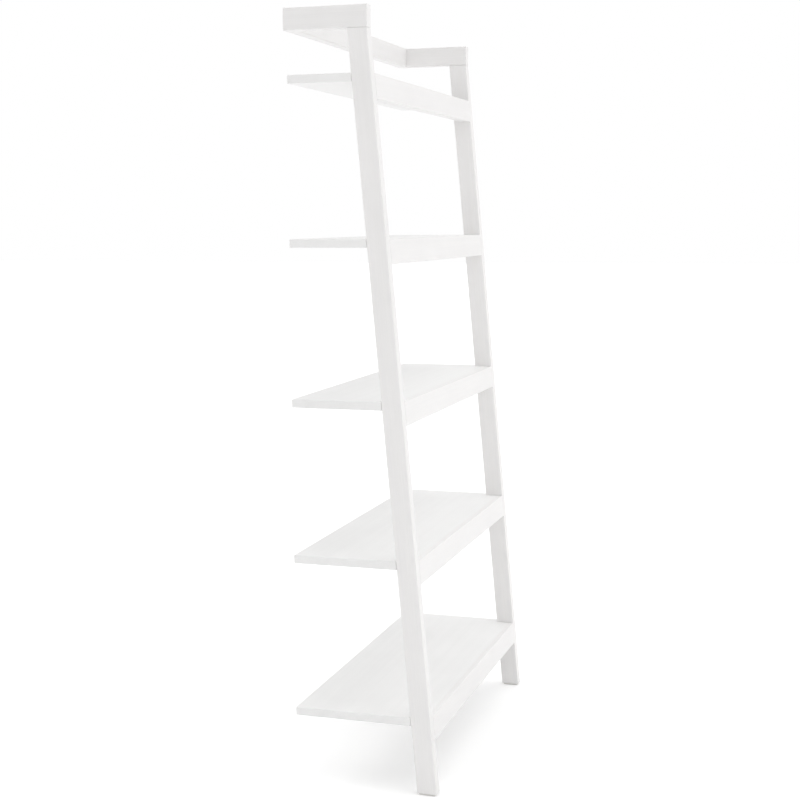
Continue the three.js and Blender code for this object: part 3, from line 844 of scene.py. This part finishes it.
def make_rung(level):
    """One rung: a block, a lip pulled up at the front, and a slant."""
    low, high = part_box(f"rung_{level}")
    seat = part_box(f"shelf_{level}")[0].z - JOINT_GAP
    front = leg_front(high.z)
    lip_back = front + RUNG_DEPTH - REBATE_DEPTH
    rung = add_block(
        f"cross_rung_{level}", (low.x, front, low.z), (high.x, front + RUNG_DEPTH, seat))
    pick(rung, "FACE", lambda f: True)
    bpy.ops.mesh.bisect(plane_co=(0, lip_back, 0), plane_no=(0, 1, 0))
    done()
    pick(rung, "FACE", lambda f: f.normal.z > 0.9 and f.calc_center_median().y < lip_back)
    bpy.ops.mesh.extrude_region_move(TRANSFORM_OT_translate={"value": (0, 0, high.z - seat)})
    done()
    slide_row(rung, low.z, (low.z - high.z) * RAKE)
    slide_row(rung, seat, (seat - high.z) * RAKE, lambda v: abs(v.co.y - lip_back) > MM)
    ease(rung, LONG_EASE, 4, outer_edges(low.z, high.z))
    ease(rung, END_EASE, 1, lambda e: on_plane(e, 0, low.x) or on_plane(e, 0, high.x))
    carve(rung, [cam_pocket_raked(f"cam_rung_{level}_{side}") for side, _ in SIDES])
    carve(rung, [screw_hole(f"shelf_screw_{level}_{side}") for side, _ in SIDES])
    return hand_over(rung, f"rung_{level}", paint_across)


def slide_row(piece, height, shift, test=lambda v: True):
    """Slide the vertices at one height towards the front or the wall."""
    pick(piece, "VERT", lambda v: abs(v.co.z - height) < 1e-5 and test(v))
    bpy.ops.transform.translate(value=(0, shift, 0))
    done()


def outer_edges(bottom, top):
    """A test for the long edges along the bottom, and the front one along the top."""
    def is_outer(edge):
        """True for an edge at one of those places."""
        if not runs_along(edge, 0, 0.5):
            return False
        height = edge.verts[0].co.z
        at_front = edge.verts[0].co.y < leg_front(height) + MM
        return abs(height - bottom) < 1e-5 or (abs(height - top) < 1e-5 and at_front)
    return is_outer


def cam_pocket_raked(node_name):
    """The pocket for a cam in the back of a rung, which is square to the slant."""
    low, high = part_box(node_name)
    radius = (high.x - low.x) / 2 + POCKET_GAP
    start = (low + high) / 2 - INTO_RAKE * (CAM_DEPTH / 2 + POCKET_GAP)
    return add_round("pocket_cutter", radius, start, INTO_RAKE, CAM_DEPTH + CUT_PAST, 48)


def screw_hole(node_name):
    """The deep hole under a rung that the head of a shelf screw sits in."""
    low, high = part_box(node_name)
    radius = (high.x - low.x) / 2 + POCKET_GAP
    start = Vector(((low.x + high.x) / 2, low.y + radius, low.z + SHELF_SCREW_HEAD))
    return add_round("hole_cutter", radius, start, -UP_RAKE, THROUGH_RUNG)


rungs = [make_rung(level) for level in LEVELS]
print("rungs:", [(rung.name, len(rung.data.polygons)) for rung in rungs])

# %% [markdown]
# ## Boards
#
# Behind the legs a board is as wide as the whole shelf, and between them it has a
# tongue that reaches the seat on the rung. The block starts behind the notches. Two
# cuts divide its front face in three, and the middle third is pulled forward as the
# tongue. The lower edge of the notches slides forward to follow the slant of the legs,
# or a dark wedge would open there. The edges that show are rounded, and the one in the
# joint stays square.

# %% Boards
BOARD_EASE = 1.6 * MM


def make_board(level):
    """One board: a wide block with a tongue between the legs."""
    low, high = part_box(f"shelf_{level}")
    notch = leg_front(high.z) + LEG_DEPTH + JOINT_GAP
    board = add_block(f"board_{level}", (low.x, notch, low.z), high)
    for sign in (-1, 1):
        pick(board, "FACE", lambda f: True)
        bpy.ops.mesh.bisect(plane_co=(sign * INNER_X, 0, 0), plane_no=(1, 0, 0))
        done()
    pick(board, "FACE", lambda f: f.normal.y < -0.9 and abs(f.calc_center_median().x) < INNER_X)
    bpy.ops.mesh.extrude_region_move(TRANSFORM_OT_translate={"value": (0, low.y - notch, 0)})
    done()
    pick(board, "VERT", lambda v: abs(v.co.y - notch) < 1e-5 and v.co.z < low.z + MM)
    bpy.ops.transform.translate(value=(0, (low.z - high.z) * RAKE, 0))
    done()
    ease(board, BOARD_EASE, 4, lambda e: on_plane(e, 1, high.y) or on_plane(e, 0, low.x)
         or on_plane(e, 0, high.x))
    return hand_over(board, f"shelf_{level}", paint_board)


boards = [make_board(level) for level in LEVELS]
print("boards:", [(b.name, round(b.dimensions.y, 3)) for b in boards])

# %% [markdown]
# ## Turned pins and screws
#
# A lathe makes a pin by following a profile, and extrusion can do the same: a thin
# disc has its end face pulled along and scaled, again and again, through a list of
# radius and height. A short saw-tooth profile, repeated, gives a thread that is a
# stack of rings, which is close enough for something this small. Each kind is turned
# once, lying on the Z axis, and then copied to its places.

# %% A lathe made of extrusions
THREAD_PITCH = 1.6 * MM
TURNING_SIDES = 24


def turn_profile(name, profile):
    """A round piece that follows a list of radius and height, in metres."""
    (first_radius, first_height), (last_radius, last_height) = profile[:2]
    bpy.ops.object.select_all(action="DESELECT")
    bpy.ops.mesh.primitive_cylinder_add(
        vertices=TURNING_SIDES, radius=first_radius, depth=last_height - first_height,
        location=(0, 0, (first_height + last_height) / 2))
    piece = settle(bpy.context.object)
    piece.name = piece.data.name = name
    pick(piece, "FACE", lambda f: f.normal.z > 0.9)
    ratio = last_radius / first_radius
    bpy.ops.transform.resize(value=(ratio, ratio, 1), center_override=(0, 0, last_height))
    for radius, height in profile[2:]:
        bpy.ops.mesh.extrude_region_move(
            TRANSFORM_OT_translate={"value": (0, 0, height - last_height)})
        ratio = radius / last_radius
        bpy.ops.transform.resize(value=(ratio, ratio, 1), center_override=(0, 0, height))
        last_radius, last_height = radius, height
    done()
    return piece


def thread(radius, root, start, end):
    """A saw-tooth profile from one height to another."""
    points = []
    count = int((end - start) / THREAD_PITCH)
    for turn in range(count):
        foot = start + turn * THREAD_PITCH
        points += [(root, foot), (radius, foot + 0.45 * THREAD_PITCH),
                   (radius, foot + 0.60 * THREAD_PITCH)]
    return points + [(root, start + count * THREAD_PITCH)]


def cross_cutters(length, width, bottom, top):
    """Two crossing bars, between two heights, that sink a driver's cross into a face."""
    return [add_block("cross_cutter", (-size_x / 2, -size_y / 2, bottom),
                      (size_x / 2, size_y / 2, top))
            for size_x, size_y in ((length, width), (width, length))]


def make_pin():
    """The connector's pin: the joint is at zero, the thread is below it."""
    return turn_profile("pin_master", [
        (2.2 * MM, -PIN_THREAD), (2.2 * MM, -10.6 * MM),
        *thread(3.0 * MM, 2.3 * MM, -10.4 * MM, -1.4 * MM),
        (3.0 * MM, -0.9 * MM), (3.0 * MM, 18.2 * MM), (2.7 * MM, 18.5 * MM),
        (2.0 * MM, 18.9 * MM), (2.0 * MM, 22.5 * MM), (3.1 * MM, 22.5 * MM + 1e-5),
        (3.4 * MM, 22.9 * MM), (3.4 * MM, 24.8 * MM), (2.6 * MM, 25.5 * MM)])


def make_screw(name, length, radius, head_radius, head_height):
    """A pan-head wood screw: the seat of the head is at zero, the point is up."""
    piece = turn_profile(name, [
        (0.62 * head_radius, -head_height), (0.80 * head_radius, -0.92 * head_height),
        (0.95 * head_radius, -0.66 * head_height), (head_radius, -0.30 * head_height),
        (head_radius, 0), (0.80 * radius, 1e-5), (0.80 * radius, 0.22 * length),
        *thread(radius, 0.66 * radius, 0.24 * length, 0.86 * length),
        (0.5 * radius, 0.93 * length), (0.12 * radius, length)])
    size = 1.25 * head_radius
    carve(piece, cross_cutters(
        size, 0.19 * size, -head_height - MM / 2, -0.38 * head_height + MM / 2))
    return piece


pin_master = make_pin()
shelf_screw_master = make_screw(
    "shelf_screw_master", SHELF_SCREW_LENGTH, 2 * MM, 4 * MM, SHELF_SCREW_HEAD)
bracket_screw_master = make_screw(
    "bracket_screw_master", 18 * MM, 2 * MM, 4 * MM, BRACKET_SCREW_HEAD)
for master in (pin_master, shelf_screw_master, bracket_screw_master):
    clean(master)
    shade(master, 35)
    print(master.name, len(master.data.polygons), "faces")

# %% [markdown]
# ## Cams
#
# A cam is a cast zinc drum with a cross for the driver in its face and a mouth in its
# side, where the head of the pin goes in. The face is dished a little by two insets, of
# which the second sinks. The cross and the mouth are cut with booleans, which keep the
# drum a closed solid. A small arrow in the rim says which way the mouth points.

# %% One cam
PIN_DEPTH = 8.5 * MM  # the axis of the pin, below the face of the cam


def make_cam():
    """A cam with its face at zero, its body below and its mouth towards -X."""
    drum = add_round("cam_master", CAM_RADIUS, (0, 0, -CAM_DEPTH), (0, 0, 1), CAM_DEPTH, 48)
    pick(drum, "FACE", lambda f: f.normal.z > 0.9)
    bpy.ops.mesh.inset(thickness=1.1 * MM, depth=0)
    bpy.ops.mesh.inset(thickness=0.25 * MM, depth=-0.45 * MM)
    done()
    ease(drum, 0.3 * MM, 2, lambda e: on_rim(e, 0) or on_rim(e, -CAM_DEPTH))
    mouth = add_round("mouth_cutter", 3.7 * MM, (1.8 * MM, 0, -PIN_DEPTH), (-1, 0, 0), 12 * MM)
    slot = add_block("slot_cutter", (-9 * MM, -2.3 * MM, -CAM_DEPTH - MM),
                     (1.0 * MM, 2.3 * MM, -PIN_DEPTH))
    bpy.ops.object.select_all(action="DESELECT")
    bpy.ops.mesh.primitive_cylinder_add(vertices=3, radius=0.9 * MM, depth=MM,
                                        location=(-6.1 * MM, 0, 0.25 * MM),
                                        rotation=(0, 0, math.radians(90)))
    arrow = settle(bpy.context.object)
    carve(drum, [mouth, slot, *cross_cutters(8.6 * MM, 1.5 * MM, -3.2 * MM, MM),
                 *cross_cutters(4.6 * MM, 2.6 * MM, -2.4 * MM, MM), arrow])
    clean(drum)
    shade(drum, 35)
    return drum


def on_rim(edge, height):
    """True for an edge of the drum's outer circle at a height."""
    return on_plane(edge, 2, height) and all(
        v.co.xy.length > CAM_RADIUS - 1e-5 for v in edge.verts)


cam_master = make_cam()
print("cam:", len(cam_master.data.polygons), "faces")

# %% [markdown]
# ## Connectors in their places
#
# A connector needs three directions: in along the pin, out of the face that the cam is
# turned from, and sideways. They are the columns of the matrix that places each copy.
# The drum's place comes from the middle of its box, which is half its depth behind the
# face.

# %% Place the pins and cams
TO_WALL = Vector((0, 1, 0))


def put_copy(master, name, place, across, along, outward, node_name, material):
    """A copy of a master with its own mesh, placed by three directions."""
    piece = master.copy()
    piece.data = master.data.copy()
    bpy.context.collection.objects.link(piece)
    piece.name = piece.data.name = name
    turn = Matrix((across, along, outward)).transposed().to_4x4()
    piece.matrix_world = Matrix.Translation(place) @ turn
    settle(piece)
    piece.data.materials.clear()
    piece.data.materials.append(material)
    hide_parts(node_name)
    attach(piece, "root")
    return piece


def middle_of(node_name):
    """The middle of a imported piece's box."""
    low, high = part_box(node_name)
    return (low + high) / 2


def add_connector(joint, inward, outward):
    """The cam and the pin of one joint."""
    face = middle_of(f"cam_{joint}") + outward * CAM_DEPTH / 2
    sideways = outward.cross(inward)
    cam = put_copy(cam_master, f"{joint}_cam", face, inward, sideways, outward,
                   f"cam_{joint}", zinc)
    low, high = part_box(f"cam_pin_{joint}")
    axis = max(range(3), key=lambda i: abs(inward[i]))
    start = (low + high) / 2
    start[axis] = (low if inward[axis] > 0 else high)[axis]
    place = start + inward * PIN_THREAD
    pin = put_copy(pin_master, f"{joint}_pin", place, outward, inward.cross(outward), inward,
                   f"cam_pin_{joint}", steel)
    return cam, pin


connectors = []
for side, sign in SIDES:
    towards_middle = Vector((-sign, 0, 0))
    connectors.append(add_connector(f"arm_{side}", Vector((0, 0, -1)), TO_WALL))
    connectors.append(add_connector(f"rail_{side}", towards_middle, TO_WALL))
    for level in LEVELS:
        connectors.append(add_connector(f"rung_{level}_{side}", towards_middle, INTO_RAKE))
print("connectors:", len(connectors))

# %% [markdown]
# ## Screws and wall brackets
#
# The shelf screws go up through each rung, along the slant, and bite in the board. The
# brackets are strips of 2 mm steel with one bend. Each begins as the strip on the wall.
# Its top end is cut off by a bisect and pulled forward as the flange, and the two edges
# of the bend are bevelled, the outer one by the strip's thickness more than the inner
# one, as when steel is folded. Corners are rounded, holes drilled, and then all sharp
# edges lose a hair, because powder coat never leaves a sharp arris.

# %% Place the screws
def add_shelf_screw(level, side):
    """One screw up through a rung, found from its board's underside."""
    name = f"shelf_screw_{level}_{side}"
    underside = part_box(f"shelf_{level}")[0].z
    seat = Vector((middle_of(name).x, 0, underside))
    seat.y = leg_front(underside) + RUNG_DEPTH - REBATE_DEPTH / 2
    seat -= UP_RAKE * (SHELF_SCREW_LENGTH - SHELF_SCREW_BITE + JOINT_GAP)
    across = Vector((1, 0, 0))
    return put_copy(shelf_screw_master, f"board_screw_{level}_{side}", seat, across,
                    UP_RAKE.cross(across), UP_RAKE, name, steel)


def add_bracket_screw(side):
    """The screw down through the flange of a bracket."""
    name = f"bracket_screw_{side}"
    place = middle_of(name)
    place.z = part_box(name)[1].z - BRACKET_SCREW_HEAD
    return put_copy(bracket_screw_master, f"rail_screw_{side}", place, Vector((1, 0, 0)),
                    Vector((0, -1, 0)), Vector((0, 0, -1)), name, steel)


shelf_screws = [add_shelf_screw(level, side) for level in LEVELS for side, _ in SIDES]
rail_screws = [add_bracket_screw(side) for side, _ in SIDES]
print("screws:", len(shelf_screws) + len(rail_screws))
for master in (pin_master, cam_master, shelf_screw_master, bracket_screw_master):
    bpy.data.objects.remove(master)

# %% Wall brackets
BRACKET_HOLE = 2.6 * MM  # radius
DRILL = 5 * MM  # length of the cutter


def make_bracket(side):
    """One folded bracket with a hole in each flange."""
    low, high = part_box(f"wall_bracket_{side}")
    inner_y, inner_z = high.y - PLATE, high.z - PLATE
    strip = add_block(f"{side}_wall_bracket", (low.x, inner_y, low.z), high)
    pick(strip, "FACE", lambda f: True)
    bpy.ops.mesh.bisect(plane_co=(0, 0, inner_z), plane_no=(0, 0, 1))
    done()
    pick(strip, "FACE", lambda f: f.normal.y < -0.9 and f.calc_center_median().z > inner_z)
    bpy.ops.mesh.extrude_region_move(TRANSFORM_OT_translate={"value": (0, low.y - inner_y, 0)})
    done()
    ease(strip, BEND_OUTSIDE, 8, lambda e: on_plane(e, 1, high.y) and on_plane(e, 2, high.z))
    ease(strip, BEND_OUTSIDE - PLATE, 6,
         lambda e: on_plane(e, 1, inner_y) and on_plane(e, 2, inner_z))
    ease(strip, 3 * MM, 6, lambda e: (runs_along(e, 1, MM) and on_plane(e, 2, low.z))
         or (runs_along(e, 2, MM) and on_plane(e, 1, low.y)))
    middle_x = (low.x + high.x) / 2
    screw_y = middle_of(f"bracket_screw_{side}").y
    for start, way in (((middle_x, screw_y, high.z + MM), (0, 0, -1)),
                       ((middle_x, inner_y - MM, WALL_HOLE_Z), (0, 1, 0))):
        carve(strip, [add_round("hole_cutter", BRACKET_HOLE, start, way, DRILL)])
    ease(strip, 0.22 * MM, 2, lambda e: len(e.link_faces) == 2
         and e.calc_face_angle() > math.radians(50))
    return hand_over(strip, f"wall_bracket_{side}", powder)


brackets = [make_bracket(side) for side, _ in SIDES]
print("brackets:", [(b.name, len(b.data.polygons)) for b in brackets])

# %% [markdown]
# ## Foot glides
#
# A glide keeps the painted foot off the floor. It is a moulded pad with round corners
# and a stem that is pushed into the end of the leg. The pad is a block with its upright
# edges bevelled a lot and its rims a little. The stem is joined on as one solid, and it
# has barbs, turned with the same list of radius and height as the screws.

# %% Foot glides
PAD_HEIGHT = 4 * MM
BARBS = 4
BARB_PITCH = 2.4 * MM


def make_glide(side):
    """One pad with its barbed stem."""
    low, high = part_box(f"foot_glide_{side}")
    pad_top = low.z + PAD_HEIGHT
    pad = add_block(f"{side}_glide", low, (high.x, high.y, pad_top))
    ease(pad, 4 * MM, 8, lambda e: runs_along(e, 2, 3 * MM))
    ease(pad, 0.7 * MM, 3, lambda e: on_plane(e, 2, low.z))
    ease(pad, 0.3 * MM, 2, lambda e: on_plane(e, 2, pad_top))
    rings = []
    for ring in range(BARBS):
        foot = 5.2 * MM + ring * BARB_PITCH
        rings += [(2.5 * MM, foot), (1.9 * MM, foot + 1.8 * MM)]
    stem = turn_profile("stem", [(2.1 * MM, 3 * MM), (2.1 * MM, 4.6 * MM), *rings,
                                 (1.5 * MM, high.z)])
    middle = (low + high) / 2
    pick(stem, "VERT", lambda v: True)
    bpy.ops.transform.translate(value=(middle.x, middle.y, 0))
    done()
    carve(pad, [stem], "UNION")
    return hand_over(pad, f"foot_glide_{side}", plastic)


glides = [make_glide(side) for side, _ in SIDES]
print("glides:", [(g.name, len(g.data.polygons)) for g in glides])
